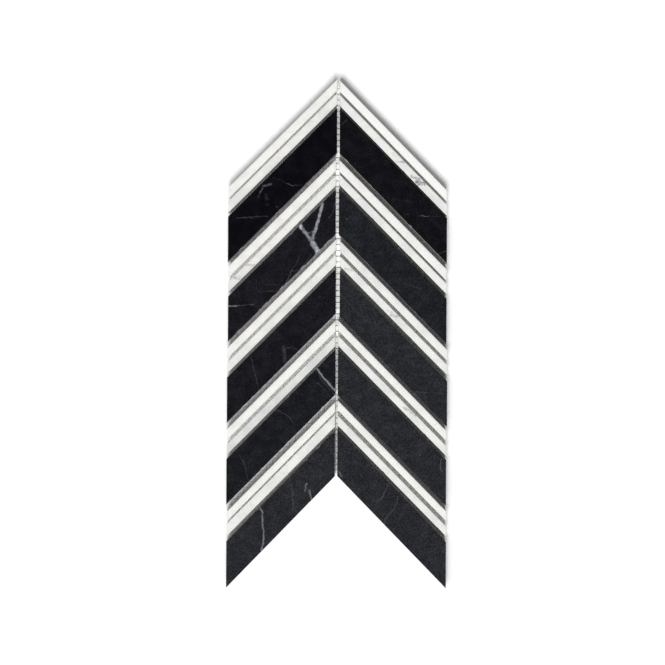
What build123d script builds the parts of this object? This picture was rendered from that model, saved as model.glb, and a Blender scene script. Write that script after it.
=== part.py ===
from build123d import *

import os
from math import cos, radians, tan

# Marble mosaic sheet: five chevrons, each a wide black bar under two narrow white strips,
# laid by hand face up on a net of glass yarn. Sizes are in millimetres.
# +Z is up out of the honed face, +Y points to the apex and X runs across the sheet.

# Stones, cut from slabs of one thickness. A width is measured square across the stone.
stone_thickness = 10.0
bar_width = 25.4
arris = 0.3  # the worn edge round the honed face, in plan and in height

# The lay of each half, row by row from the apex down, as uneven as hand laying leaves it.
# Angles are in degrees below the X axis. Joints are measured square across, half way along.
row_count = 5
middle_x = 43.5
lay = {
    "left": {
        "side": -1,
        "first_drop": 0.0,  # how far the first strip lies below the apex
        "mitre_x": (0.8, 1.5, 1.1, 1.2, 1.2),  # from the middle of the sheet
        "edge_x": (86.6, 86.3, 86.8, 86.9, 86.7),
        "upper_widths": (5.9, 6.2, 5.8, 6.0, 5.4),
        "lower_widths": (6.4, 5.8, 6.1, 5.7, 6.8),
        "strip_joints": (1.8, 2.6, 2.3, 2.5, 1.4),  # between the two white strips
        "joints_over_bar": (1.9, 2.1, 2.0, 1.9, 2.3),
        "joints_under_bar": (2.7, 3.0, 3.5, 4.0),
        "strip_angles": (45.1, 45.0, 45.2, 45.3, 45.6),
        "bar_angles": (45.2, 45.1, 45.3, 45.5, 46.0),
    },
    "right": {
        "side": 1,
        "first_drop": 0.5,
        "mitre_x": (1.3, 0.9, 1.9, 0.8, 0.7),
        "edge_x": (86.4, 86.4, 87.2, 86.7, 86.9),
        "upper_widths": (5.9, 6.2, 5.9, 5.6, 5.4),
        "lower_widths": (6.1, 5.8, 5.7, 5.7, 5.5),
        "strip_joints": (2.1, 1.8, 2.5, 2.8, 3.0),
        "joints_over_bar": (1.1, 2.4, 3.0, 2.2, 3.0),
        "joints_under_bar": (3.3, 2.7, 2.6, 2.8),
        "strip_angles": (45.5, 45.3, 45.2, 45.3, 45.4),
        "bar_angles": (45.4, 45.3, 45.4, 45.3, 45.7),
    },
}

# Net of glass yarn under the stones: warp yarns along Y below, weft yarns along X on them.
# It lies a little askew, as pressed on by hand, turned about the middle of the sheet.
net_pitch = 4.6
net_turn = 0.4  # degrees counterclockwise
nearest_warp = -1.45  # the yarns next to the middle of the sheet, measured from there
nearest_weft = 1.9
yarn_width = 0.8
yarn_flat = 0.5  # the flat on top of and under a yarn, between its bevelled sides
yarn_thickness = 0.25
net_margin = 1.5  # the net is trimmed this far inside the stones
shortest_yarn = 4.0  # shorter ends come off where the net is trimmed
net_angle = 45.2  # the slope of the net's trimmed apex and notch


def stone(side, inner, outer, middle_top, width, angle):
    """One stone with slanted long edges and upright ends, its honed face up.

    middle_top is the height in Y of its upper long edge, half way along the row.
    """
    slope = tan(radians(angle))
    height = width / cos(radians(angle))
    top_inner = middle_top + slope * (middle_x - inner)
    top_outer = middle_top + slope * (middle_x - outer)
    outline = Polygon(
        (side * inner, top_inner),
        (side * outer, top_outer),
        (side * outer, top_outer - height),
        (side * inner, top_inner - height),
        align=None,
    )
    block = extrude(outline, stone_thickness, dir=(0, 0, 1))
    face_edges = block.edges().group_by(Axis.Z)[-1]
    return Pos(0, 0, 2 * yarn_thickness) * chamfer(face_edges, arris)


def half_of_sheet(name):
    """Every stone of one half by its name, each laid a joint below the one before."""
    plan = lay[name]
    stones = {}
    first_slope = tan(radians(plan["strip_angles"][0]))
    top = -plan["first_drop"] - first_slope * middle_x
    for row in range(row_count):
        ends = (plan["side"], plan["mitre_x"][row], plan["edge_x"][row])
        strip_angle = plan["strip_angles"][row]
        bar_angle = plan["bar_angles"][row]
        down_strips = 1 / cos(radians(strip_angle))
        down_bar = 1 / cos(radians(bar_angle))
        upper_width = plan["upper_widths"][row]
        lower_width = plan["lower_widths"][row]

        upper_name = f"white_strip_upper_{name}_{row + 1}"
        stones[upper_name] = stone(*ends, top, upper_width, strip_angle)
        top -= (upper_width + plan["strip_joints"][row]) * down_strips

        lower_name = f"white_strip_lower_{name}_{row + 1}"
        stones[lower_name] = stone(*ends, top, lower_width, strip_angle)
        top -= (lower_width + plan["joints_over_bar"][row]) * down_strips

        stones[f"black_bar_{name}_{row + 1}"] = stone(*ends, top, bar_width, bar_angle)
        if row < row_count - 1:
            top -= (bar_width + plan["joints_under_bar"][row]) * down_bar
    return stones


def yarn(start, end, base):
    """One straight flattened yarn from start to end, lying on the height base."""
    run = Vector(*end) - Vector(*start)
    across = Vector(0, 0, 1).cross(run)
    waist = yarn_thickness / 2
    section = Polygon(
        (-yarn_flat / 2, 0),
        (yarn_flat / 2, 0),
        (yarn_width / 2, waist),
        (yarn_flat / 2, yarn_thickness),
        (-yarn_flat / 2, yarn_thickness),
        (-yarn_width / 2, waist),
        align=None,
    )
    return extrude(Plane((*start, base), x_dir=across, z_dir=run) * section, run.length)


def chevron(apex_y, notch_y, half_width):
    """The outline of the sheet that the net is cut to, with its apex and notch on the middle."""
    fall = tan(radians(net_angle)) * half_width
    return Polygon(
        (0, apex_y),
        (-half_width, apex_y - fall),
        (-half_width, notch_y - fall),
        (0, notch_y),
        (half_width, notch_y - fall),
        (half_width, apex_y - fall),
        align=None,
    )


def net_of_yarns(outline, middle):
    """The net's two layers of parallel yarns, laid askew and cut to the outline."""
    cutter = extrude(outline, 2 * yarn_thickness, dir=(0, 0, 1))
    laid = Pos(middle.X, middle.Y, 0) * Rot(0, 0, net_turn)
    reach = outline.bounding_box().size.Y
    steps = int(reach / 2 / net_pitch) + 1
    section_area = yarn_thickness * (yarn_width + yarn_flat) / 2
    warp = []
    weft = []
    for step in range(-steps, steps + 1):
        x = nearest_warp + step * net_pitch
        y = nearest_weft + step * net_pitch
        for row, whole in (
            (warp, yarn((x, -reach), (x, reach), 0)),
            (weft, yarn((-reach, y), (reach, y), yarn_thickness)),
        ):
            kept = (laid * whole) & cutter
            if kept:
                row += [piece for piece in kept.solids() if piece.volume > shortest_yarn * section_area]
    return {"net_warp_yarns": Compound(warp), "net_weft_yarns": Compound(weft)}


stones = half_of_sheet("left") | half_of_sheet("right")
extent = Compound(list(stones.values())).bounding_box()

# The net's apex and notch follow the stones' own, a margin inside them.
inset = net_margin / cos(radians(net_angle))
last_bar = stones[f"black_bar_left_{row_count}"]
notch_y = last_bar.vertices().group_by(Axis.X)[-1].sort_by(Axis.Y)[0].Y
trimmed = chevron(extent.max.Y - inset, notch_y + inset, extent.max.X - net_margin)
pieces = stones | net_of_yarns(trimmed, extent.center())

# The origin is at the middle of the sheet, on the surface that it lies on.
centred = Pos(-extent.center().X, -extent.center().Y, 0)
os.makedirs("parts", exist_ok=True)
for name, shape in pieces.items():
    export_step(centred * shape, f"parts/{name}.step")
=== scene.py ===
import logging
import math
import random
from dataclasses import dataclass, field
from enum import Enum

import bmesh
import bpy
import numpy as np
from bpy.types import Material, Mesh, NodeSocket, NodeTree, Object
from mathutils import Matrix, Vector


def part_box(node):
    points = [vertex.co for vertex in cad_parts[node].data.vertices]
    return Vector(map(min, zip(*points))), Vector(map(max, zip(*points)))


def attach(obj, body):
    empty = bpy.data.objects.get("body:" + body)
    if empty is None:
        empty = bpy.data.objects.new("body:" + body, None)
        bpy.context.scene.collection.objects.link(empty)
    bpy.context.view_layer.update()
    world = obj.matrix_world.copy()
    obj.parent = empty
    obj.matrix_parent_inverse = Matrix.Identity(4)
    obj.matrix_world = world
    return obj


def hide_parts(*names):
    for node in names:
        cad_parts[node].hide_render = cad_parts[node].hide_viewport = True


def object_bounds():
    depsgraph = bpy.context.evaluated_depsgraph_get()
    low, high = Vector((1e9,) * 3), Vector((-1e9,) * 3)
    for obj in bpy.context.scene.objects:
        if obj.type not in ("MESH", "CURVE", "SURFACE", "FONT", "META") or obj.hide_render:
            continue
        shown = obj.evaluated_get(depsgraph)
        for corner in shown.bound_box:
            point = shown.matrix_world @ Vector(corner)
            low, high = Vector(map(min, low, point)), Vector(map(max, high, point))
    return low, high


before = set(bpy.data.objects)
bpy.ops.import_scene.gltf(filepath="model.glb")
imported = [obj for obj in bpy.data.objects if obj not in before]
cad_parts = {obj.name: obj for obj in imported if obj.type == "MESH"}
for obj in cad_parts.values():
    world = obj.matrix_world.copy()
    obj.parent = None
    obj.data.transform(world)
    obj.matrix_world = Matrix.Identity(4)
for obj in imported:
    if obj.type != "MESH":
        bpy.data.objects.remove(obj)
cad_low, cad_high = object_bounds()

log = logging.getLogger("marble_sheet")

MM = 0.001
BODY = "root"


def linear(hex_colour: str) -> tuple[float, float, float, float]:
    """Turns an sRGB hex colour into the linear values that shaders take.

    Args:
        hex_colour: the colour as #rrggbb.

    Returns:
        Red, green and blue in linear light, and an alpha of 1.
    """
    values = [int(hex_colour[place : place + 2], 16) / 255 for place in (1, 3, 5)]
    red, green, blue = (v / 12.92 if v <= 0.04045 else ((v + 0.055) / 1.055) ** 2.4 for v in values)
    return (red, green, blue, 1.0)


def add(tree: NodeTree, kind: str, inputs: dict | None = None, **settings: object) -> NodeSocket:
    """Adds a shader node with its settings and links.

    Args:
        tree: the node tree that it joins.
        kind: the node's type, without ShaderNode.
        inputs: by socket name or number, a value to set or a socket to link.
        **settings: the node's own properties.

    Returns:
        The node's first output, or its only one.
    """
    made = tree.nodes.new("ShaderNode" + kind)
    for name, value in settings.items():
        setattr(made, name, value)
    for name, value in (inputs or {}).items():
        if isinstance(value, NodeSocket):
            tree.links.new(value, made.inputs[name])
        else:
            made.inputs[name].default_value = value
    return made.outputs[0]


def new_material(name: str) -> tuple[Material, NodeTree, NodeSocket]:
    """Makes an empty node material.

    Args:
        name: the material's name.

    Returns:
        The material, its node tree and the surface socket of its output.
    """
    material = bpy.data.materials.new(name)
    material.use_nodes = True
    tree = material.node_tree
    tree.nodes.clear()
    output = tree.nodes.new("ShaderNodeOutputMaterial")
    return material, tree, output.inputs["Surface"]


def make_object(name: str, points: np.ndarray, faces: list, material: Material) -> Object:
    """Makes a mesh object from points in millimetres and adds it to the scene.

    Args:
        name: the piece's name.
        points: its points in the row frame, in millimetres.
        faces: its faces as lists of point numbers.
        material: its finish.

    Returns:
        The new object.
    """
    mesh: Mesh = bpy.data.meshes.new(name)
    mesh.from_pydata((points * MM).tolist(), [], faces)
    mesh.materials.append(material)
    mesh.update()
    made = bpy.data.objects.new(name, mesh)
    bpy.context.scene.collection.objects.link(made)
    return made


class Half(Enum):
    """The half of a chevron that a stone lies in."""

    LEFT = "left"
    RIGHT = "right"


class Place(Enum):
    """What a stone is in its row."""

    UPPER_STRIP = "white_strip_upper"
    LOWER_STRIP = "white_strip_lower"
    BAR = "black_bar"


class BlackSlab(Enum):
    """The tones given to the bars, body and cloud: partly each slab's own tone, partly painted sheen."""

    JET = ("#040408", "#0b0b10")
    PITCH = ("#0b0b10", "#141419")
    INK = ("#121217", "#1b1b21")
    COAL = ("#15161a", "#1f2024")
    SOOT = ("#1a1c20", "#232529")
    SLATE = ("#242529", "#2c2d31")


class WhiteSlab(Enum):
    """The tones of the slabs that the strips were sawn from: body and cloud."""

    BRIGHT = ("#fffffc", "#fdfdf9")
    WARM = ("#f7f6f3", "#efeeeb")
    COOL = ("#f1f1ee", "#e6e6e4")
    ASHEN = ("#e7e7e6", "#dbdbdb")


@dataclass(frozen=True)
class Vein:
    """A vein seen on the honed face, which runs straight down through the stone.

    path is in millimetres in the row frame, and width is in millimetres. strength is how far the
    vein covers the stone, and patchy how much of it fades out, both from 0 to 1.
    """

    path: tuple[tuple[float, float], ...]
    width: float = 0.6
    strength: float = 0.3
    patchy: float = 0.5


@dataclass(frozen=True)
class CutMarble:
    """What the finishes of both marbles share: their places, clouds, veins and glued back.

    Heights are in millimetres above the surface that the sheet lies on.
    """

    face_height: float = 10.5
    back_height: float = 0.5
    glue: str = "#8b8a84"
    roughness: float = 0.62

    def place_in_mm(self, tree: NodeTree) -> NodeSocket:
        """The point on the stone in millimetres in the row frame."""
        where = add(tree, "TexCoord").node.outputs["Object"]
        return add(tree, "VectorMath", {0: where, "Scale": 1000.0}, operation="SCALE")

    def noise(self, tree: NodeTree, place: NodeSocket, grain: float, detail: float = 2.0) -> NodeSocket:
        """Cloudy noise over the stone.

        Args:
            tree: the material's tree.
            place: the point in millimetres.
            grain: the size of a cloud in millimetres.
            detail: how many finer levels it has.

        Returns:
            A value about 0.5, from 0 to 1.
        """
        sizes = {"Vector": place, "Scale": 1.0 / grain, "Detail": detail, "Roughness": 0.55}
        return add(tree, "TexNoise", sizes)

    def step(
        self, tree: NodeTree, value: NodeSocket, low: float, high: float, top: float = 1.0
    ) -> NodeSocket:
        """A smooth step.

        Args:
            tree: the material's tree.
            value: the value that is stepped.
            low: where it leaves 0, which may lie above high.
            high: where it reaches the top.
            top: the value that it reaches.

        Returns:
            A value from 0 to the top.
        """
        turned = high < low
        limits = {"Value": value, "From Min": min(low, high), "From Max": max(low, high)}
        limits |= {"To Min": top if turned else 0.0, "To Max": 0.0 if turned else top}
        return add(tree, "MapRange", limits, interpolation_type="SMOOTHSTEP")

    def vein_mask(self, tree: NodeTree, place: NodeSocket, veins: tuple[Vein, ...]) -> NodeSocket:
        """Where the stone's own veins lie.

        Args:
            tree: the material's tree.
            place: the point in millimetres.
            veins: the veins of this stone.

        Returns:
            The strength of the vein at the point, from 0 to 1.
        """
        wander = add(tree, "TexNoise", {"Vector": place, "Scale": 0.35, "Detail": 3.0}).node.outputs["Color"]
        wander = add(tree, "VectorMath", {0: wander, 1: (0.5, 0.5, 0.5)}, operation="SUBTRACT")
        bent = add(tree, "VectorMath", {0: wander, 1: (2.2, 2.2, 0.0), 2: place}, operation="MULTIPLY_ADD")
        flat = add(tree, "VectorMath", {0: bent, 1: (1.0, 1.0, 0.0)}, operation="MULTIPLY")
        broken = self.step(tree, self.noise(tree, place, 2.4, 3.0), 0.4, 0.6)
        mask = add(tree, "Value")
        for vein in veins:
            nearest = None
            for start, end in zip(vein.path, vein.path[1:]):
                run = Vector((end[0] - start[0], end[1] - start[1], 0.0))
                back = (-start[0], -start[1], 0.0)
                apart = add(tree, "VectorMath", {0: flat, 1: back}, operation="ADD")
                along = run / run.length_squared
                share = add(tree, "VectorMath", {0: apart, 1: along}, operation="DOT_PRODUCT")
                share = {0: share.node.outputs["Value"], 1: 1.0}
                share = add(tree, "Math", share, operation="MULTIPLY", use_clamp=True)
                foot = add(tree, "VectorMath", {0: run, "Scale": share}, operation="SCALE")
                far = add(tree, "VectorMath", {0: apart, 1: foot}, operation="DISTANCE")
                far = far.node.outputs["Value"]
                if nearest is None:
                    nearest = far
                else:
                    nearest = add(tree, "Math", {0: nearest, 1: far}, operation="MINIMUM")
            drawn = self.step(tree, nearest, vein.width * 0.75, vein.width * 0.2)
            whole = {0: broken, 1: vein.patchy, 2: 1.0 - vein.patchy}
            whole = add(tree, "Math", whole, operation="MULTIPLY_ADD")
            drawn = add(tree, "Math", {0: drawn, 1: whole}, operation="MULTIPLY")
            drawn = add(tree, "Math", {0: drawn, 1: vein.strength}, operation="MULTIPLY")
            mask = add(tree, "Math", {0: mask, 1: drawn}, operation="MAXIMUM")
        return mask

    def mottle(
        self, tree: NodeTree, place: NodeSocket, colour: NodeSocket, grain: float, depth: float
    ) -> NodeSocket:
        """Breaks a colour up into the fine grain of the stone.

        Args:
            tree: the material's tree.
            place: the point in millimetres.
            colour: the colour, which stays as it is on the whole.
            grain: the size of a grain in millimetres.
            depth: the step between the darkest and the lightest grain, as a share of the colour.

        Returns:
            The mottled colour.
        """
        fine = self.step(tree, self.noise(tree, place, grain), 0.3, 0.7)
        level = {0: fine, 1: depth, 2: 1.0 - depth / 2}
        level = add(tree, "Math", level, operation="MULTIPLY_ADD")
        return add(tree, "VectorMath", {0: colour, "Scale": level}, operation="SCALE")

    def blend(self, tree: NodeTree, share: NodeSocket | float, one: object, other: object) -> NodeSocket:
        """Mixes two colours.

        Args:
            tree: the material's tree.
            share: how much of the other colour shows.
            one: a colour or a socket.
            other: a colour or a socket.

        Returns:
            The mixed colour.
        """
        return add(tree, "Mix", {0: share, 6: one, 7: other}, data_type="RGBA").node.outputs[2]

    def glued(
        self, tree: NodeTree, place: NodeSocket, height: NodeSocket, colour: NodeSocket, most: float
    ) -> NodeSocket:
        """Smears the adhesive's film over the stone's back.

        Args:
            tree: the material's tree.
            place: the point in millimetres.
            height: its height.
            colour: the stone's colour.
            most: how much of the stone the film hides where it is thickest.

        Returns:
            The colour with the film on it.
        """
        film = self.step(tree, self.noise(tree, place, 5.0, 3.0), 0.3, 0.6, most)
        back = self.step(tree, height, self.back_height + 0.25, self.back_height + 0.05)
        film = add(tree, "Math", {0: film, 1: back}, operation="MULTIPLY")
        return self.blend(tree, film, colour, linear(self.glue))

    def surface_inputs(
        self, tree: NodeTree, place: NodeSocket, colour: NodeSocket, worn: NodeSocket, relief: float
    ) -> dict:
        """The shader's inputs that both marbles have.

        Args:
            tree: the material's tree.
            place: the point in millimetres.
            colour: the stone's colour.
            worn: what the worn and sawn surface adds to the honed one's roughness.
            relief: how strongly the grain stands out.

        Returns:
            The values and sockets by the name of the shader's input.
        """
        rough = add(tree, "Math", {0: worn, 1: self.roughness}, operation="ADD")
        grain = {"Height": self.noise(tree, place, 0.8, 2.0), "Strength": relief, "Distance": 0.0003}
        bump = add(tree, "Bump", grain)
        return {"Base Color": colour, "Roughness": rough, "Normal": bump, "IOR": 1.5}


@dataclass(frozen=True)
class HonedBlackMarble(CutMarble):
    """Black marble honed with fine grit: a flat, dull black with soft clouds and a fine grain.

    Its arrises are rubbed and chipped, and broken calcite looks pale grey there. The sawn sides
    are dull charcoal with dust in the saw lines.
    """

    slab: BlackSlab = BlackSlab.INK
    vein: str = "#c4c9d4"
    ground: str = "#565551"
    worn: str = "#6e6d69"
    sawn: str = "#4d4d4c"
    dust: str = "#605f5d"

    def build(self, name: str, veins: tuple[Vein, ...]) -> Material:
        """Makes the material of one bar.

        Args:
            name: the material's name.
            veins: the veins that show on this bar.

        Returns:
            The material.
        """
        material, tree, surface = new_material(name)
        place = self.place_in_mm(tree)
        body, cloud = (linear(tone) for tone in self.slab.value)
        clouds = self.step(tree, self.noise(tree, place, 9.0, 4.0), 0.38, 0.68)
        colour = self.blend(tree, clouds, body, cloud)
        colour = self.mottle(tree, place, colour, 0.9, 1.2)
        if veins:
            colour = self.blend(tree, self.vein_mask(tree, place, veins), colour, linear(self.vein))

        height = add(tree, "SeparateXYZ", {0: place}).node.outputs[2]
        depth = add(tree, "Math", {0: self.face_height, 1: height}, operation="SUBTRACT")
        # Patches between the ground and the worn tone; on a bar's joint-facing sides both are its bevel tone,
        # which carries painted light.
        rubbed_and_painted_light = self.noise(tree, place, 1.6, 3.0)
        pale = self.blend(tree, self.step(tree, rubbed_and_painted_light, 0.35, 0.65), linear(self.ground), linear(self.worn))
        colour = self.blend(tree, self.step(tree, depth, 0.02, 0.12), colour, pale)
        drawn = add(tree, "VectorMath", {0: place, 1: (0.05, 0.05, 1.4)}, operation="MULTIPLY")
        saw = add(tree, "TexNoise", {"Vector": drawn, "Scale": 1.0, "Detail": 3.0})
        side = self.blend(tree, self.step(tree, saw, 0.45, 0.7), linear(self.sawn), linear(self.dust))
        colour = self.blend(tree, self.step(tree, depth, 0.7, 1.3), colour, side)
        colour = self.glued(tree, place, height, colour, 0.75)
        worn = self.step(tree, depth, 0.02, 0.12, 0.88 - self.roughness)
        finish = self.surface_inputs(tree, place, colour, worn, 0.12)
        finish |= {"Specular IOR Level": 0.025}
        tree.links.new(add(tree, "BsdfPrincipled", finish), surface)
        return material


@dataclass(frozen=True)
class HonedWhiteMarble(CutMarble):
    """White marble honed with fine grit: milky, with faint grey clouds and a few smoky veins.

    Its arrises are only a little rubbed, and the sawn sides look chalky.
    """

    slab: WhiteSlab = WhiteSlab.WARM
    vein: str = "#4a4f52"
    streak: str = "#cfd1d0"
    worn: str = "#e8e7e2"
    sawn: str = "#fdfcf9"
    glue: str = "#b9b6ac"
    roughness: float = 0.45
    glow: float = 0.6
    reach: float = 0.003

    def build(self, name: str, veins: tuple[Vein, ...]) -> Material:
        """Makes the material of one strip, or of several that have no vein of their own.

        Args:
            name: the material's name.
            veins: the veins that show on it.

        Returns:
            The material.
        """
        material, tree, surface = new_material(name)
        place = self.place_in_mm(tree)
        body, cloud = (linear(tone) for tone in self.slab.value)
        clouds = self.step(tree, self.noise(tree, place, 14.0, 4.0), 0.4, 0.66)
        colour = self.blend(tree, clouds, body, cloud)

        # Smoky streaks follow the bedding, which runs level across the picture.
        level = add(tree, "VectorMath", {0: place, 1: (0.05, 0.16, 0.12)}, operation="MULTIPLY")
        streaks = add(tree, "TexNoise", {"Vector": level, "Scale": 1.0, "Detail": 5.0, "Distortion": 0.8})
        faint = self.step(tree, streaks, 0.57, 0.68, 0.16)
        colour = self.blend(tree, faint, colour, linear(self.streak))
        colour = self.mottle(tree, place, colour, 1.1, 0.05)
        if veins:
            colour = self.blend(tree, self.vein_mask(tree, place, veins), colour, linear(self.vein))

        height = add(tree, "SeparateXYZ", {0: place}).node.outputs[2]
        depth = add(tree, "Math", {0: self.face_height, 1: height}, operation="SUBTRACT")
        colour = self.blend(tree, self.step(tree, depth, 0.04, 0.16), colour, linear(self.worn))
        colour = self.blend(tree, self.step(tree, depth, 0.5, 1.1), colour, linear(self.sawn))
        colour = self.glued(tree, place, height, colour, 0.7)
        worn = self.step(tree, depth, 0.04, 0.16, 0.85 - self.roughness)
        finish = self.surface_inputs(tree, place, colour, worn, 0.1)
        finish |= {"Specular IOR Level": 0.2, "Subsurface Weight": self.glow}
        finish |= {"Subsurface Radius": (1.0, 0.96, 0.88), "Subsurface Scale": self.reach}
        tree.links.new(add(tree, "BsdfPrincipled", finish), surface)
        return material


@dataclass(frozen=True)
class GlassYarn:
    """Yarn of glass filaments stiffened with resin: greyish, half clear, with fine lengthwise lines.

    Beside the middle joint it is greyer, partly the yarn's own grey and partly painted shade for the shadows
    that the yarns cast there; everywhere else it is near white.
    """

    grey_and_shaded: str = "#d0cfc7"
    body: str = "#f9f9f4"
    lit: str = "#fefefa"
    grey_and_shaded_reach: float = 2.5
    roughness: float = 0.5

    def build(self, name: str, along_y: bool) -> Material:
        """Makes the material of the yarns that run one way.

        Args:
            name: the material's name.
            along_y: whether they run along Y.

        Returns:
            The material.
        """
        material, tree, surface = new_material(name)
        where = add(tree, "TexCoord").node.outputs["Object"]
        # Filaments are 0.01 mm thick, drawn as strands 0.12 mm apart so that they show.
        stretch = (8000.0, 250.0, 8000.0) if along_y else (250.0, 8000.0, 8000.0)
        strand = add(tree, "VectorMath", {0: where, 1: stretch}, operation="MULTIPLY")
        strands = add(tree, "TexNoise", {"Vector": strand, "Scale": 1.0, "Detail": 2.0})
        share = add(tree, "MapRange", {"Value": strands, "From Min": 0.4, "From Max": 0.65})
        pale = add(tree, "Mix", {0: share, 6: linear(self.body), 7: linear(self.lit)}, data_type="RGBA")
        away = add(tree, "SeparateXYZ", {0: where})
        away = add(tree, "Math", {0: away}, operation="ABSOLUTE")
        # Near the middle the yarn takes the greyer colour, partly painted shade.
        reach = self.grey_and_shaded_reach * MM
        away = add(tree, "MapRange", {"Value": away, "From Min": reach, "From Max": 1.4 * reach})
        parts = {0: away, 6: linear(self.grey_and_shaded), 7: pale.node.outputs[2]}
        colour = add(tree, "Mix", parts, data_type="RGBA").node.outputs[2]
        relief = add(tree, "Bump", {"Height": strands, "Strength": 0.4, "Distance": 0.0001})
        finish = {"Base Color": colour, "Roughness": self.roughness, "Normal": relief, "IOR": 1.52,
                  "Specular IOR Level": 0.3}
        tree.links.new(add(tree, "BsdfPrincipled", finish), surface)
        return material


@dataclass(frozen=True)
class Wear:
    """How the arris of a stone has worn, in millimetres. chips is how many there are in 100 mm."""

    width: float
    wander: float
    chips: float
    chip_width: float

    def along(self, rng: np.random.Generator, length: float, places: np.ndarray) -> np.ndarray:
        """The width of the arris at places along one edge.

        Args:
            rng: the stone's own source of chance.
            length: the edge's length.
            places: the places along it, from 0 to the length.

        Returns:
            A width for each place.
        """
        knots = np.linspace(0.0, length, max(4, int(length / 2.5)))
        slow = np.interp(places, knots, rng.normal(0.0, 1.0, knots.size))
        fast = rng.normal(0.0, 1.0, places.size)
        width = self.width * (1.0 + self.wander * (0.7 * slow + 0.3 * fast))
        for _ in range(rng.poisson(self.chips * length / 100.0)):
            middle = rng.uniform(0.0, length)
            reach = rng.uniform(0.6, 2.4)
            hollow = np.clip(1.0 - ((places - middle) / reach) ** 2, 0.0, 1.0) ** 0.7
            width = np.maximum(width, self.width + hollow * self.chip_width * rng.uniform(0.3, 1.0))
        return np.clip(width, 0.4 * self.width, None)


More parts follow.
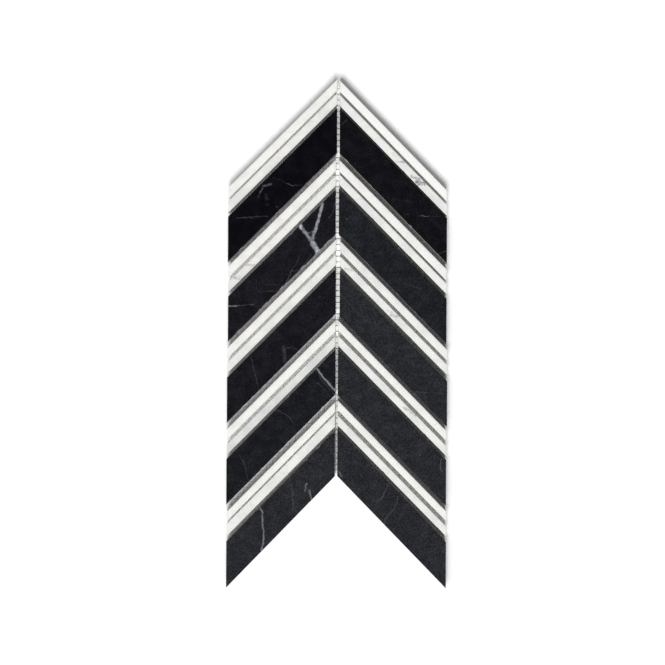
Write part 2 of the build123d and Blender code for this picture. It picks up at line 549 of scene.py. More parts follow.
@dataclass
class Stone:
    """One sawn stone of the sheet: a flat honed face, worn arrises and rough sawn sides.

    Distances are in millimetres. The stone keeps the outline, the height and the place of its own
    CAD node. A bevel lies inside that outline along a long edge, and goes as far down.
    side_rows are the heights of the points on its sides, from 0 at the bevel to 1 at the back,
    and side_wavers how far inward the saw may have wandered at each.
    """

    place: Place
    half: Half
    row: int
    wear: Wear
    lower_wear: Wear
    upper_bevel: float = 0.0
    lower_bevel: float = 0.0
    spacing: float = 0.85
    side_rows: tuple[float, ...] = (0.0, 0.12, 0.45, 0.8, 0.97, 1.0)
    side_wavers: tuple[float, ...] = (0.03, 0.07, 0.07, 0.07, 0.07, 0.22)
    sharp_degrees: float = 48.0

    @property
    def node(self) -> str:
        """The name of the CAD node that the stone stands for."""
        return f"{self.place.value}_{self.half.value}_{self.row}"

    def corners(self) -> tuple[np.ndarray, float, float]:
        """Reads the honed face's outline, inside the bevels, and the stone's heights.

        Returns:
            The corners (inner top, outer top, outer bottom, inner bottom), the back's and the face's height.
        """
        points = np.array([vertex.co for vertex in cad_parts[self.node].data.vertices]) / MM
        back, face = points[:, 2].min(), points[:, 2].max()
        outline = points[points[:, 2] < back + 0.01]
        order = np.sort(np.unique(outline[:, 0].round(3)))
        inner, outer = sorted((order[0], order[-1]), key=abs)
        found = []
        for x, highest in ((inner, True), (outer, True), (outer, False), (inner, False)):
            heights = outline[np.abs(outline[:, 0] - x) < 0.01, 1]
            found.append((x, heights.max() if highest else heights.min()))
        found = np.array(found)
        run = found[1] - found[0]
        upright = np.linalg.norm(run) / abs(run[0])
        found[[0, 1], 1] -= self.upper_bevel * upright
        found[[2, 3], 1] += self.lower_bevel * upright
        return found, back, face

    def lines(self, length: float, spacing: float) -> np.ndarray:
        """Distances of the mesh's lines from one edge, close together near both edges.

        Args:
            length: the distance to the opposite edge.
            spacing: the step between the edges.

        Returns:
            The distances, from 0 to the length.
        """
        near = np.array([0.0, 0.08, 0.16, 0.26, 0.4, 0.65, 1.0, 1.6])
        inside = np.linspace(near[-1], length - near[-1], max(2, round((length - 2 * near[-1]) / spacing)))
        return np.concatenate([near[:-1], inside, length - near[-2::-1]])

    def shape(self) -> tuple[np.ndarray, list]:
        """Builds the stone's points and faces.

        Returns:
            The points in millimetres and the faces.
        """
        corner, back, face = self.corners()
        rng = np.random.default_rng(random.Random(self.node).randrange(2**31))
        run = corner[1] - corner[0]
        drop = corner[3] - corner[0]
        long_side = float(np.linalg.norm(run))
        across = abs(float(run[0] * drop[1] - run[1] * drop[0])) / long_side
        depth = abs(float(run[0]))
        u_mm = self.lines(depth, self.spacing)
        v_mm = self.lines(across, 3.4 if across > 12 else 1.4)
        u, v = u_mm / depth, v_mm / across
        grid_u, grid_v = np.meshgrid(u, v, indexing="ij")
        flat = corner[0] + grid_u[..., None] * run + grid_v[..., None] * drop

        # Each edge takes off what lies within its own worn width, deepest at the edge itself.
        upper = self.wear.along(rng, long_side, u * long_side)[:, None]
        lower = self.lower_wear.along(rng, long_side, u * long_side)[:, None]
        inner = self.wear.along(rng, abs(drop[1]), v * abs(drop[1]))[None, :]
        outer = self.wear.along(rng, abs(drop[1]), v * abs(drop[1]))[None, :]
        taken = np.zeros_like(grid_u)
        ends = (v_mm[None, :], across - v_mm[None, :], u_mm[:, None], depth - u_mm[:, None])
        for width, distance in zip((upper, lower, inner, outer), ends):
            share = np.clip(1.0 - distance / width, 0.0, 1.0)
            taken = np.maximum(taken, 0.95 * width * share**1.25)
        top = np.dstack([flat, face - taken]).reshape(-1, 3)

        count_u, count_v = grid_u.shape
        number = np.arange(count_u * count_v).reshape(count_u, count_v)
        around = [number[:-1, :-1], number[1:, :-1], number[1:, 1:], number[:-1, 1:]]
        quads = np.stack(around, axis=-1).reshape(-1, 4)
        ring = np.concatenate([number[:, 0], number[-1, 1:], number[-2::-1, -1], number[0, -2:0:-1]])
        inward = np.zeros((count_u, count_v, 2))
        # A side moves along the sides next to it, so that no corner leaves the outline.
        inward[:, 0] += drop / across
        inward[:, -1] -= drop / across
        inward[0, :] += run / depth
        inward[-1, :] -= run / depth
        inward = inward.reshape(-1, 2)[ring]
        outward = np.zeros((count_u, count_v, 2))
        outward[:, 0] -= drop * self.upper_bevel / across
        outward[:, -1] += drop * self.lower_bevel / across
        edge = top[ring]
        foot = edge.copy()
        foot[:, :2] += outward.reshape(-1, 2)[ring]
        foot[:, 2] -= max(self.upper_bevel, self.lower_bevel)
        points = [top]
        faces = quads.tolist()
        above = ring
        first = len(top)
        for share, reach in zip(self.side_rows, self.side_wavers):
            row = foot.copy()
            row[:, 2] = foot[:, 2] + (back - foot[:, 2]) * share
            waver = rng.uniform(0.0, 1.0, len(ring))
            waver = (waver + np.roll(waver, 1) + np.roll(waver, -1)) / 3.0
            row[:, :2] += inward * (reach * waver)[:, None]
            points.append(row)
            below = np.arange(first, first + len(ring))
            sides = np.stack([above, below, np.roll(below, -1), np.roll(above, -1)], axis=-1)
            faces += sides.tolist()
            above = below
            first += len(ring)
        faces.append(above[::-1].tolist())
        if run[0] * drop[1] - run[1] * drop[0] < 0:
            faces = [one[::-1] for one in faces]
        # Nothing reaches out of the box of the whole sheet.
        return np.clip(np.concatenate(points), np.array(cad_low) / MM, np.array(cad_high) / MM), faces

    def build(self, material: Material, side: Material, ways: tuple[int, ...]) -> Object:
        """Makes the stone's piece, in place of its CAD node.

        Args:
            material: the stone's finish.
            side: the finish of the long sides that have one of their own.
            ways: which long sides these are, 1 for the upper and -1 for the lower one.

        Returns:
            The new piece.
        """
        points, faces = self.shape()
        piece = make_object(f"{self.node}_cut", points, faces, material)
        piece.data.shade_smooth()
        piece.data.set_sharp_from_angle(angle=math.radians(self.sharp_degrees))
        if ways:
            piece.data.materials.append(side)
            # A long side faces this far along Y, and leans back no more than this.
            facing = 0.3
            flattest = {Place.UPPER_STRIP: 0.4, Place.LOWER_STRIP: 0.85, Place.BAR: 0.9}[self.place]
            for face in piece.data.polygons:
                faces_way = any(face.normal.y * way > facing for way in ways)
                if faces_way and face.normal.z < flattest:
                    face.material_index = 1
        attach(piece, BODY)
        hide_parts(self.node)
        return piece


@dataclass
class YarnNet:
    """The glass yarn net under the stones: pairs of thin warp yarns twisted round flat weft yarns.

    Sizes are in millimetres. The yarns' places come from the CAD nodes.
    """

    pitch: float = 4.6
    turn: float = 0.4
    middle_height: float = 0.25
    strand_half_width: float = 0.2
    strand_half_height: float = 0.09
    strand_rise: float = 0.13
    strand_sway: float = 0.15
    weft_half_width: float = 0.34
    weft_half_height: float = 0.08
    finish: GlassYarn = GlassYarn()

    def yarns(self, node: str, along_y: bool) -> list[tuple[np.ndarray, np.ndarray]]:
        """Reads where each yarn of a node starts and ends.

        Args:
            node: the name of the CAD node.
            along_y: whether the yarns run along Y.

        Returns:
            The middles of each yarn's two cut ends on the net's plane, the lower one first.
        """
        shape = bmesh.new()
        shape.from_mesh(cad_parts[node].data)
        bmesh.ops.remove_doubles(shape, verts=shape.verts, dist=1e-6)
        left = set(shape.verts)
        ends = []
        # The yarns are read in the order of their points, so that every run draws the same net.
        for first in shape.verts:
            if first not in left:
                continue
            left.remove(first)
            island = [first]
            for vertex in island:
                for edge in vertex.link_edges:
                    other = edge.other_vert(vertex)
                    if other in left:
                        left.remove(other)
                        island.append(other)
            points = np.array([vertex.co for vertex in island])[:, :2] / MM
            along = points[:, 1 if along_y else 0]
            middle = (along.min() + along.max()) / 2
            ends.append((points[along < middle].mean(axis=0), points[along > middle].mean(axis=0)))
        shape.free()
        return ends

    def tube(
        self, line: np.ndarray, half_width: float, half_height: float, sides: int
    ) -> tuple[np.ndarray, list]:
        """Sweeps a flattened round section along a line.

        Args:
            line: the middle line's points.
            half_width: half of the section's width.
            half_height: half of its height.
            sides: how many sides the section has.

        Returns:
            The tube's points and faces, its ends closed.
        """
        run = line[-1] - line[0]
        run /= np.linalg.norm(run)
        across = np.array([-run[1], run[0], 0.0])
        angles = np.arange(sides) * 2 * math.pi / sides
        level = np.cos(angles)[:, None] * across * half_width
        ring = level + np.sin(angles)[:, None] * (0.0, 0.0, half_height)
        points = (line[:, None, :] + ring[None, :, :]).reshape(-1, 3)
        number = np.arange(len(line) * sides).reshape(len(line), sides)
        turned = np.roll(number, -1, axis=1)
        faces = np.stack([number[:-1], number[1:], turned[1:], turned[:-1]], axis=-1).reshape(-1, 4).tolist()
        faces += [number[0].tolist(), number[-1, ::-1].tolist()]
        return points, faces

    def gather(self, name: str, node: str, tubes: list, along_y: bool) -> Object:
        """Joins tubes into one piece in place of a CAD node.

        Args:
            name: the piece's name.
            node: the CAD node that it stands for.
            tubes: the points and faces of each tube.
            along_y: whether the yarns run along Y.

        Returns:
            The new piece.
        """
        points = []
        faces = []
        first = 0
        for tube_points, tube_faces in tubes:
            points.append(tube_points)
            faces += [[first + corner for corner in one] for one in tube_faces]
            first += len(tube_points)
        material = self.finish.build(f"resin_coated_glass_{'warp' if along_y else 'weft'}", along_y)
        low, high = (np.array(corner)[:2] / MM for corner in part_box(node))
        points = np.concatenate(points)
        points[:, :2] = np.clip(points[:, :2], low, high)
        piece = make_object(name, points, faces, material)
        piece.data.shade_smooth()
        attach(piece, BODY)
        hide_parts(node)
        return piece

    def build(self) -> list[Object]:
        """Makes the warp and the weft.

        Returns:
            The two pieces.
        """
        rng = np.random.default_rng(11)
        slope = math.tan(math.radians(self.turn))
        warp = []
        for low, high in self.yarns("net_warp_yarns", True):
            length = float(np.linalg.norm(high - low))
            count = max(3, round(length / self.pitch * 4))
            share = np.linspace(0.0, 1.0, count)[:, None]
            flat = low + (high - low) * share
            phase = (flat[:, 1] - slope * flat[:, 0]) / self.pitch * math.pi
            for way in (1, -1):
                sway = way * self.strand_sway * np.sin(phase) + rng.normal(0.0, 0.02, count)
                rise = self.middle_height + way * self.strand_rise * np.cos(phase)
                line = np.column_stack([flat[:, 0] + sway, flat[:, 1], rise])
                warp.append(self.tube(line, self.strand_half_width, self.strand_half_height, 4))
        weft = []
        for low, high in self.yarns("net_weft_yarns", False):
            length = float(np.linalg.norm(high - low))
            count = max(3, round(length / self.pitch * 2))
            share = np.linspace(0.0, 1.0, count)[:, None]
            flat = low + (high - low) * share
            rise = np.full(count, self.middle_height)
            line = np.column_stack([flat[:, 0], flat[:, 1] + rng.normal(0.0, 0.02, count), rise])
            weft.append(self.tube(line, self.weft_half_width, self.weft_half_height, 6))
        return [
            self.gather("net_warp_twisted", "net_warp_yarns", warp, True),
            self.gather("net_weft_flat", "net_weft_yarns", weft, False),
        ]


@dataclass
class Sheet:
    """The mosaic sheet: five chevrons of honed stone on their net."""

    rows: int = 5
    bevel: float = 0.12
    # Bevel tones by half and row: partly rubbed stone, partly painted light; the left ones are lighter, as
    # the lamps light the left joints.
    rubbed_and_painted_light: dict = field(default_factory=lambda: {
        Half.LEFT: ("#a3a29e", "#a6a5a0", "#bab9b4", "#c3c2bd", "#b8b7b2"),
        Half.RIGHT: ("#a5a4a0", "#7a7973", "#62615d", "#565551", "#565551"),
    })
    # Pale sawn and dust tones of the bars' sides that face a joint: partly dust, partly painted light.
    dust_and_painted_light: tuple[str, str] = ("#8f8d86", "#b7b5ae")
    # Grey of the strips' sides that face a bar: partly slurry stain, partly painted shade, much darker in the
    # right half.
    slurry_and_painted_shade: dict = field(default_factory=lambda: {Half.LEFT: "#96948e", Half.RIGHT: "#504f4b"})
    # The strips' other sawn sides are a little darker in the right half as painted shade.
    sawn_sides_with_painted_shade: dict = field(default_factory=lambda: {Half.LEFT: "#fcfcfa", Half.RIGHT: "#eae9e6"})
    bar_wear: Wear = Wear(width=0.1, wander=0.2, chips=3.0, chip_width=0.4)
    chipped_wear: Wear = Wear(width=0.12, wander=0.3, chips=14.0, chip_width=0.8)
    strip_wear: Wear = Wear(width=0.16, wander=0.25, chips=2.0, chip_width=0.4)
    # Bar tones are partly each slab's own and partly painted sheen: most right bars are lighter, standing in
    # for how their hone marks catch the light.
    bar_slabs_and_sheen: dict = field(default_factory=lambda: {
        Half.LEFT: (BlackSlab.JET, BlackSlab.INK, BlackSlab.INK, BlackSlab.COAL, BlackSlab.SLATE),
        Half.RIGHT: (BlackSlab.PITCH, BlackSlab.SOOT, BlackSlab.SLATE, BlackSlab.SLATE, BlackSlab.SLATE),
    })
    bar_veins: dict = field(default_factory=lambda: {
        (Half.LEFT, 1): (
            Vein(((-59.0, 116.3), (-52.8, 118.0)), 1.6, 0.13, 0.4),
            Vein(((-59.4, 114.5), (-61.8, 111.2), (-63.1, 107.8)), 1.1, 0.14, 0.7),
            Vein(((-56.9, 108.6), (-56.5, 107.0)), 3.6, 0.03, 1.0),
            Vein(((-56.1, 102.6), (-55.7, 101.8)), 2.4, 0.03, 1.0),
            Vein(((-48.2, 100.1), (-47.8, 99.9)), 1.0, 0.09, 0.1),
            Vein(((-51.7, 123.1), (-44.9, 120.9), (-39.2, 118.0)), 0.5, 0.04, 0.7),
            Vein(((-40.0, 118.4), (-39.2, 118.0), (-35.9, 117.0), (-34.8, 117.0)), 0.6, 0.16, 0.3),
            Vein(((-34.8, 117.0), (-29.1, 117.5)), 0.5, 0.06, 0.7),
            Vein(((-79.8, 91.1), (-66.2, 92.0), (-55.5, 92.6)), 0.7, 0.08, 0.6),
            Vein(((-73.0, 90.3), (-64.0, 91.0)), 0.5, 0.03, 0.7),
        ),
        (Half.LEFT, 2): (
            Vein(((-12.4, 102.6), (-14.0, 95.0), (-15.3, 90.5), (-16.8, 85.0), (-18.2, 80.4)), 2.1, 0.6, 0.4),
            Vein(((-18.2, 80.4), (-19.9, 74.6)), 2.2, 0.42, 0.6),
            Vein(((-31.2, 86.8), (-29.0, 83.8)), 2.7, 0.9, 0.3),
            Vein(((-29.0, 83.8), (-25.0, 78.6), (-21.2, 73.8)), 2.6, 0.44, 0.5),
            Vein(((-25.4, 79.4), (-21.6, 79.6), (-18.4, 80.6)), 1.8, 0.26, 0.8),
            Vein(((-23.0, 76.2), (-19.0, 76.6)), 2.8, 0.2, 0.8),
            Vein(((-19.6, 71.2), (-17.8, 68.2), (-16.0, 65.6), (-15.4, 63.6)), 3.8, 0.88, 0.5),
            Vein(((-1.9, 103.0), (-4.7, 94.0), (-7.5, 91.7)), 0.7, 0.07, 0.5),
            Vein(((-29.9, 62.2), (-33.3, 54.3), (-36.1, 49.8)), 0.6, 0.06, 0.3),
            Vein(((-36.1, 49.8), (-40.0, 41.3)), 0.7, 0.12, 0.5),
            Vein(((-36.1, 49.2), (-29.9, 50.4), (-20.9, 62.3)), 0.6, 0.06, 0.7),
            Vein(((-86.0, 21.3), (-79.5, 21.5)), 0.8, 0.36, 0.3),
            Vein(((-79.5, 21.5), (-71.5, 22.5), (-65.3, 23.1)), 0.7, 0.11, 0.7),
            Vein(((-58.0, 38.9), (-43.5, 37.9)), 0.5, 0.04, 0.7),
            Vein(((-62.5, 32.8), (-45.6, 33.9)), 0.5, 0.07, 0.7),
            Vein(((-64.3, 42.9), (-64.2, 23.7)), 0.5, 0.03, 0.7),
        ),
        (Half.LEFT, 3): (
            Vein(((-42.4, -11.1), (-41.8, -15.8), (-41.1, -22.1)), 2.6, 0.06, 0.7),
            Vein(((-42.8, -13.4), (-40.4, -11.5), (-36.1, -11.0), (-31.4, -13.0)), 0.8, 0.05, 0.5),
            Vein(((-67.9, -18.1), (-66.1, -27.1), (-63.9, -36.1), (-62.1, -41.7)), 0.9, 0.05, 0.5),
            Vein(((-25.2, 17.1), (-20.7, 12.7), (-17.3, 12.7), (-14.4, 8.1)), 0.9, 0.02, 0.9),
            Vein(((-16.2, 29.6), (-9.4, 28.6)), 0.7, 0.03, 0.7),
        ),
        (Half.LEFT, 4): (
            Vein(((-15.9, -28.0), (-11.4, -33.6), (-6.8, -39.2), (-1.7, -44.8)), 1.4, 0.36, 0.1),
            Vein(((-16.5, -30.2), (-10.2, -38.6), (-2.3, -48.2)), 0.6, 0.06, 0.9),
            Vein(((-15.9, -38.7), (-9.1, -44.3)), 0.6, 0.08, 0.9),
            Vein(((-10.3, -24.0), (-5.2, -27.9)), 0.6, 0.06, 0.7),
            Vein(((-47.4, -60.3), (-39.5, -64.8), (-34.9, -69.3)), 0.7, 0.06, 0.5),
            Vein(((-76.5, -96.6), (-73.1, -103.3), (-71.9, -106.8), (-69.6, -115.7)), 0.8, 0.04, 0.5),
        ),
        (Half.LEFT, 5): (
            Vein(((-60.5, -137.1), (-58.4, -141.6), (-58.2, -149.5), (-57.2, -159.7), (-57.5, -165.3),
                  (-59.2, -171.5)), 1.3, 0.3, 0.4),
            Vein(((-36.9, -113.3), (-35.8, -121.2), (-34.6, -129.1), (-34.2, -140.4)), 0.7, 0.06, 0.3),
            Vein(((-23.6, -118.3), (-24.5, -121.7), (-25.0, -124.5)), 1.3, 0.22, 0.3),
            Vein(((-24.5, -120.4), (-22.1, -125.1)), 2.4, 0.04, 0.5),
            Vein(((-21.6, -123.5), (-20.8, -126.3), (-19.8, -130.6)), 1.3, 0.19, 0.1),
            Vein(((-25.6, -107.6), (-23.4, -115.5)), 0.6, 0.04, 0.7),
            Vein(((-15.5, -113.2), (-8.7, -110.7), (-1.9, -109.1)), 0.6, 0.03, 0.5),
        ),
        (Half.RIGHT, 1): (
            Vein(((2.2, 165.1), (6.7, 169.1)), 0.8, 0.08, 0.7),
            Vein(((52.3, 94.3), (55.7, 94.8)), 1.0, 0.04, 0.7),
            Vein(((62.9, 93.4), (67.6, 93.2)), 0.5, 0.02, 0.5),
            Vein(((65.8, 93.3), (72.0, 93.2)), 0.5, 0.16, 0.3),
            Vein(((74.0, 93.2), (81.9, 93.1)), 0.5, 0.03, 0.5),
            Vein(((38.6, 107.8), (49.4, 105.5), (61.3, 104.5)), 0.8, 0.02, 1.0),
            Vein(((78.4, 62.8), (85.2, 66.2)), 0.6, 0.06, 0.3),
        ),
        (Half.RIGHT, 2): (
            Vein(((6.5, 91.1), (7.0, 90.3)), 0.9, 0.08, 0.1),
            Vein(((42.3, 63.7), (47.9, 66.0)), 0.7, 0.02, 0.7),
            Vein(((52.6, 39.0), (56.9, 38.4), (61.6, 36.9), (66.4, 36.4)), 0.8, 0.03, 0.5),
        ),
        (Half.RIGHT, 3): (
            Vein(((5.2, 28.6), (10.9, 21.8), (19.9, 12.9), (23.4, 9.5)), 0.6, 0.04, 0.3),
            Vein(((49.4, -10.5), (49.7, -10.9)), 1.0, 0.07, 0.1),
            Vein(((41.3, -8.3), (49.2, -10.6), (59.5, -9.7)), 0.5, 0.02, 0.7),
            Vein(((62.0, -45.6), (73.9, -46.3), (86.3, -46.7)), 0.6, 0.05, 0.5),
        ),
        (Half.RIGHT, 4): (
            Vein(((83.0, -98.6), (82.1, -102.1), (82.1, -105.3), (83.2, -108.7)), 0.7, 0.13, 0.1),
            Vein(((39.6, -73.8), (40.5, -74.6)), 1.8, 0.03, 0.5),
            Vein(((45.6, -71.9), (46.9, -73.8)), 1.8, 0.03, 0.5),
            Vein(((65.5, -94.7), (65.9, -95.8)), 1.6, 0.04, 0.5),
        ),
        (Half.RIGHT, 5): (
            Vein(((1.9, -108.8), (4.2, -112.5)), 1.6, 0.13, 0.7),
            Vein(((19.3, -111.4), (19.7, -112.3)), 1.6, 0.04, 0.5),
            Vein(((41.6, -116.8), (40.8, -119.2), (38.2, -124.2), (36.5, -128.7),
                  (32.0, -132.7)), 0.7, 0.08, 0.4),
            Vein(((48.3, -128.6), (47.8, -133.1), (44.4, -139.9), (38.9, -145.7),
                  (38.3, -149.0)), 0.7, 0.07, 0.4),
            Vein(((77.4, -170.3), (83.0, -163.4)), 0.8, 0.03, 0.7),
        ),
    })
    odd_strips: dict = field(default_factory=lambda: {
        (Place.UPPER_STRIP, Half.RIGHT, 1): WhiteSlab.BRIGHT,
        (Place.UPPER_STRIP, Half.RIGHT, 3): WhiteSlab.COOL,
        (Place.LOWER_STRIP, Half.LEFT, 4): WhiteSlab.ASHEN,
    })
    strip_veins: dict = field(default_factory=lambda: {
        (Half.RIGHT, 1): (
            Vein(((61.6, 120.5), (64.3, 119.7), (69.1, 119.4)), 2.3, 0.95, 0.5),
            Vein(((63.2, 118.3), (65.9, 118.0), (68.7, 118.6)), 1.9, 0.75, 0.6),
            Vein(((61.6, 121.6), (65.1, 121.0)), 1.3, 0.4, 0.7),
            Vein(((58.0, 124.7), (60.8, 123.4), (64.2, 122.4)), 2.4, 0.5, 0.8),
            Vein(((46.9, 136.2), (52.1, 135.9)), 1.5, 0.45, 0.5),
            Vein(((42.1, 143.0), (46.9, 139.5)), 2.4, 0.12, 0.8),
        ),
        (Half.LEFT, 2): (
            Vein(((-72.3, 54.2), (-64.1, 53.8)), 1.7, 0.33, 0.4),
            Vein(((-69.6, 52.8), (-64.9, 52.6)), 0.9, 0.15, 0.4),
            Vein(((-81.8, 44.0), (-76.8, 42.9)), 2.6, 0.42, 0.6),
            Vein(((-83.0, 46.4), (-77.5, 44.8)), 2.6, 0.16, 0.6),
        ),
        (Half.RIGHT, 3): (
            Vein(((5.6, 51.6), (12.1, 50.0)), 2.4, 0.34, 0.7),
            Vein(((39.6, 18.6), (43.2, 16.2)), 2.2, 0.24, 0.6),
            Vein(((42.0, 15.0), (47.5, 13.9)), 2.2, 0.38, 0.6),
        ),
        (Half.RIGHT, 4): (
            Vein(((72.5, -16.2), (76.0, -17.4)), 1.8, 0.22, 0.5),
            Vein(((52.8, -57.6), (58.4, -61.4), (62.4, -64.0)), 2.6, 0.4, 0.8),
        ),
    })

    def bars(self, half: Half, row: int) -> Object:
        """Makes one black bar.

        Args:
            half: the half of the sheet that it lies in.
            row: its row, counted from the apex.

        Returns:
            The bar's piece.
        """
        # The bar's tone carries painted sheen as well as the slab's own tone.
        slab = self.bar_slabs_and_sheen[half][row - 1]
        veins = self.bar_veins.get((half, row), ())
        material = HonedBlackMarble(slab=slab).build(f"honed_black_marble_{half.value}_{row}", veins)
        chipped = half is Half.LEFT and row == 2
        lower = self.chipped_wear if chipped else self.bar_wear
        last = row == self.rows
        lower_bevel = 0.0 if last else self.bevel
        stone = Stone(Place.BAR, half, row, self.bar_wear, lower, self.bevel, lower_bevel)
        # The bevel tone is partly rubbed stone and partly painted light.
        tone = self.rubbed_and_painted_light[half][row - 1]
        # The left bars' upper sides and each side that faces the next row are pale: partly dust and rubbing,
        # partly painted light standing in for light in the joints they face; only the left bars have it on
        # their upper sides, as the lamps light the left joints.
        ways = ((1,) if half is Half.LEFT else ()) + (() if last else (-1,))
        side = material
        if ways:
            sawn, dust = self.dust_and_painted_light
            finish = HonedBlackMarble(slab=slab, ground=tone, worn=tone, sawn=sawn, dust=dust)
            side = finish.build(f"dusty_black_marble_{half.value}_{row}", ())
        return stone.build(material, side, ways)

    def build(self) -> list[Object]:
        """Makes every stone and the net.

        Returns:
            All pieces of the sheet.
        """
        pieces = []
        # The plain strip finishes take each half's sawn side tone, darker on the right as painted shade.
        plain = {
            (half, slab): HonedWhiteMarble(slab=slab, sawn=self.sawn_sides_with_painted_shade[half]).build(
                f"honed_white_marble_{half.value}_{slab.name.lower()}", ())
            for half in Half
            for slab in WhiteSlab
        }
        # The sides of the strips that face a bar are grey, partly with the slurry of black marble and partly
        # as painted shade, which makes them much darker in the right half.
        stained_and_shaded = {
            half: HonedWhiteMarble(slab=WhiteSlab.ASHEN, worn=tone, sawn=tone).build(
                f"sawn_white_marble_stained_{half.value}", ())
            for half, tone in self.slurry_and_painted_shade.items()
        }
        for half in Half:
            for row in range(1, self.rows + 1):
                for place in (Place.UPPER_STRIP, Place.LOWER_STRIP):
                    usual = WhiteSlab.WARM if place is Place.UPPER_STRIP else WhiteSlab.COOL
                    slab = self.odd_strips.get((place, half, row), usual)
                    material = plain[(half, slab)]
                    veins = self.strip_veins.get((half, row)) if place is Place.LOWER_STRIP else None
                    if veins:
                        name = f"honed_white_marble_{half.value}_{row}"
                        material = HonedWhiteMarble(slab=slab, sawn=self.sawn_sides_with_painted_shade[half]).build(name, veins)
                    stone = Stone(place, half, row, self.strip_wear, self.strip_wear)
                    outermost = place is Place.UPPER_STRIP and row == 1
                    way = 1 if place is Place.UPPER_STRIP else -1
                    pieces.append(stone.build(material, stained_and_shaded[half], () if outermost else (way,)))
                pieces.append(self.bars(half, row))
        pieces += YarnNet().build()
        return pieces


@dataclass(frozen=True)
class SoftLamp:
    """A large soft lamp, high up and far off. Angles are in degrees, the azimuth from -Y towards -X.

    share is what it gives a level white surface, where 1 renders a colour as it is written.
    """

    name: str
    share: float
    elevation: float
    azimuth: float
    angle: float

    def build(self) -> Object:
        """Hangs the lamp."""
        data = bpy.data.lights.new(self.name, "SUN")
        data.angle = math.radians(self.angle)
        height = math.sin(math.radians(self.elevation))
        level = math.cos(math.radians(self.elevation))
        turn = math.radians(self.azimuth)
        data.energy = self.share * math.pi / height
        lamp = bpy.data.objects.new(self.name, data)
        to_lamp = Vector((-math.sin(turn) * level, -math.cos(turn) * level, height))
        lamp.location = to_lamp * 3.0
        lamp.rotation_euler = (-to_lamp).to_track_quat("-Z", "Y").to_euler()
        bpy.context.scene.collection.objects.link(lamp)
        return lamp


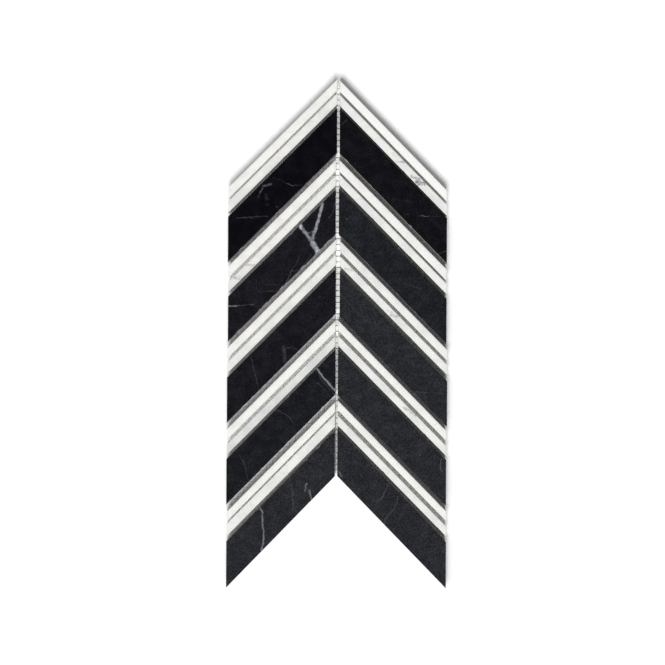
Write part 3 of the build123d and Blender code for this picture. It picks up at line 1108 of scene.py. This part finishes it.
@dataclass
class Studio:
    """A white table top under soft lamps, with the camera straight above. Sizes in metres.

    The bed's margin inside the sheet's edges is in millimetres. The whites are what the camera
    sees, and those above 1 make up for how little light the deep joints get.
    """

    floor_reach: float = 40.0
    ambient: float = 0.16
    lamps: tuple[SoftLamp, ...] = (
        SoftLamp("front_lamp", 0.68, 55.8, 4.4, 26.0),
        SoftLamp("front_left_lamp", 0.14, 55.3, 39.0, 24.6),
    )
    bounces: int = 24
    bed_margin: float = 3.0
    floor_white: float = 1.08
    bed_white: float = 1.09
    middle_white: float = 1.24
    upper_middle_white: float = 1.5
    middle_reach: tuple[float, float] = (0.003, 0.004)
    middle_rise: float = 0.012
    bed_slope: float = 45.2
    lens: float = 100.0
    sensor: float = 36.0
    seen_width: float = 0.52535
    aim: tuple[float, float] = (-0.00377, 0.00098)
    picture_turn: float = 0.3
    face_height: float = 0.0105

    def seen(self, tree: NodeTree) -> NodeSocket:
        """One for what the camera sees, directly or in gloss and glass, and none for other light."""
        path = add(tree, "LightPath").node.outputs
        sharp = {0: path["Is Glossy Ray"], 1: path["Is Transmission Ray"]}
        sharp = add(tree, "Math", sharp, operation="MAXIMUM")
        return add(tree, "Math", {0: path["Is Camera Ray"], 1: sharp}, operation="MAXIMUM")

    def paper(self, name: str, white: float, middle: tuple[float, float], lit_through: bool) -> Material:
        """Makes white paper that is clear from below, so that the sheet's back can be seen.

        Args:
            name: the material's name.
            white: how bright the camera sees it.
            middle: how bright it sees it along the middle joint, in the lower and the upper half.
            lit_through: whether the room's light reaches the sheet's back through it.

        Returns:
            The material.
        """
        material, tree, surface = new_material(name)
        clear = add(tree, "BsdfTransparent")
        paper = clear if lit_through else add(tree, "BsdfDiffuse", {"Color": (0.9, 0.9, 0.9, 1.0)})
        where = add(tree, "TexCoord").node.outputs["Object"]
        place = add(tree, "SeparateXYZ", {0: where})
        away = add(tree, "Math", {0: place}, operation="ABSOLUTE")
        rise = {"Value": place.node.outputs["Y"], "From Min": -self.middle_rise, "From Max": self.middle_rise}
        rise = add(tree, "MapRange", rise | {"To Min": middle[0], "To Max": middle[1]})
        near, far = self.middle_reach
        limits = {"Value": away, "From Min": near, "From Max": far, "To Min": rise, "To Max": white}
        bright = add(tree, "BsdfDiffuse", {"Color": add(tree, "MapRange", limits)})
        shown = add(tree, "MixShader", {0: self.seen(tree), 1: paper, 2: bright})
        behind = add(tree, "NewGeometry").node.outputs["Backfacing"]
        tree.links.new(add(tree, "MixShader", {0: behind, 1: shown, 2: clear}), surface)
        return material

    def floor(self) -> Object:
        """Makes the table top, with a bed of its own under the sheet."""
        low, high = (np.array(corner)[:2] / MM for corner in (cad_low, cad_high))
        side = high[0] - self.bed_margin
        fall = side * math.tan(math.radians(self.bed_slope))
        apex = high[1] - 1.5 * self.bed_margin
        notch = low[1] + fall + 2.5 * self.bed_margin
        reach = self.floor_reach / MM
        corners = np.array([
            (0.0, apex, 0.0), (-side, apex - fall, 0.0), (-side, notch - fall, 0.0),
            (0.0, notch, 0.0), (side, notch - fall, 0.0), (side, apex - fall, 0.0),
            (0.0, reach, 0.0), (-reach, reach, 0.0), (-reach, -reach, 0.0),
            (0.0, -reach, 0.0), (reach, -reach, 0.0), (reach, reach, 0.0),
        ])
        bed = [[0, 1, 2, 3], [0, 3, 4, 5]]
        around = [[0, 6, 7], [0, 7, 1], [1, 7, 8], [1, 8, 2], [2, 8, 9], [2, 9, 3]]
        around += [[3, 9, 4], [4, 9, 10], [4, 10, 11], [4, 11, 5], [5, 11, 0], [0, 11, 6]]
        table = self.paper("white_card_table", self.floor_white, (self.floor_white, self.floor_white), False)
        middle = (self.middle_white, self.upper_middle_white)
        made = make_object("table_top", corners, bed + around, table)
        made.data.materials.append(self.paper("white_card_bed", self.bed_white, middle, True))
        for face in made.data.polygons[: len(bed)]:
            face.material_index = 1
        return made

    def world(self) -> None:
        """Lights the room evenly, and shows it white."""
        world = bpy.data.worlds.new("white_room")
        world.use_nodes = True
        tree = world.node_tree
        tree.nodes.clear()
        room = add(tree, "Background", {"Color": (1.0, 1.0, 1.0, 1.0), "Strength": self.ambient})
        white = add(tree, "Background", {"Color": (1.0, 1.0, 1.0, 1.0), "Strength": 1.0})
        shown = add(tree, "MixShader", {0: self.seen(tree), 1: room, 2: white})
        output = tree.nodes.new("ShaderNodeOutputWorld")
        tree.links.new(shown, output.inputs["Surface"])
        bpy.context.scene.world = world

    def camera(self) -> None:
        """Sets the camera straight above the sheet, turned as the picture is."""
        data = bpy.data.cameras.new("camera")
        data.lens = self.lens
        data.sensor_width = self.sensor
        data.clip_end = 100.0
        camera = bpy.data.objects.new("camera", data)
        height = self.seen_width * self.lens / self.sensor + self.face_height
        camera.location = (self.aim[0], self.aim[1], height)
        camera.rotation_euler = (0.0, 0.0, math.radians(self.picture_turn))
        bpy.context.scene.collection.objects.link(camera)
        bpy.context.scene.camera = camera

    def build(self) -> None:
        """Sets up the floor, the light and the camera."""
        self.floor()
        self.world()
        for lamp in self.lamps:
            lamp.build()
        self.camera()
        # Light comes down to the floor of the deep, narrow joints by many bounces between white walls.
        bpy.context.scene.cycles.diffuse_bounces = self.bounces
        bpy.context.scene.cycles.max_bounces = self.bounces
        bpy.context.scene.view_settings.view_transform = "Standard"


def triangles(piece: Object) -> int:
    """How many triangles a piece has."""
    piece.data.calc_loop_triangles()
    return len(piece.data.loop_triangles)


def main() -> None:
    """Builds the sheet and its studio."""
    logging.basicConfig(level=logging.INFO, format="%(name)s: %(message)s")
    pieces = Sheet().build()
    for piece in pieces:
        log.info("%s: %d triangles", piece.name, triangles(piece))
    log.info("%d pieces, %d triangles in all", len(pieces), sum(triangles(piece) for piece in pieces))
    Studio().build()


if __name__ == "__main__":
    main()
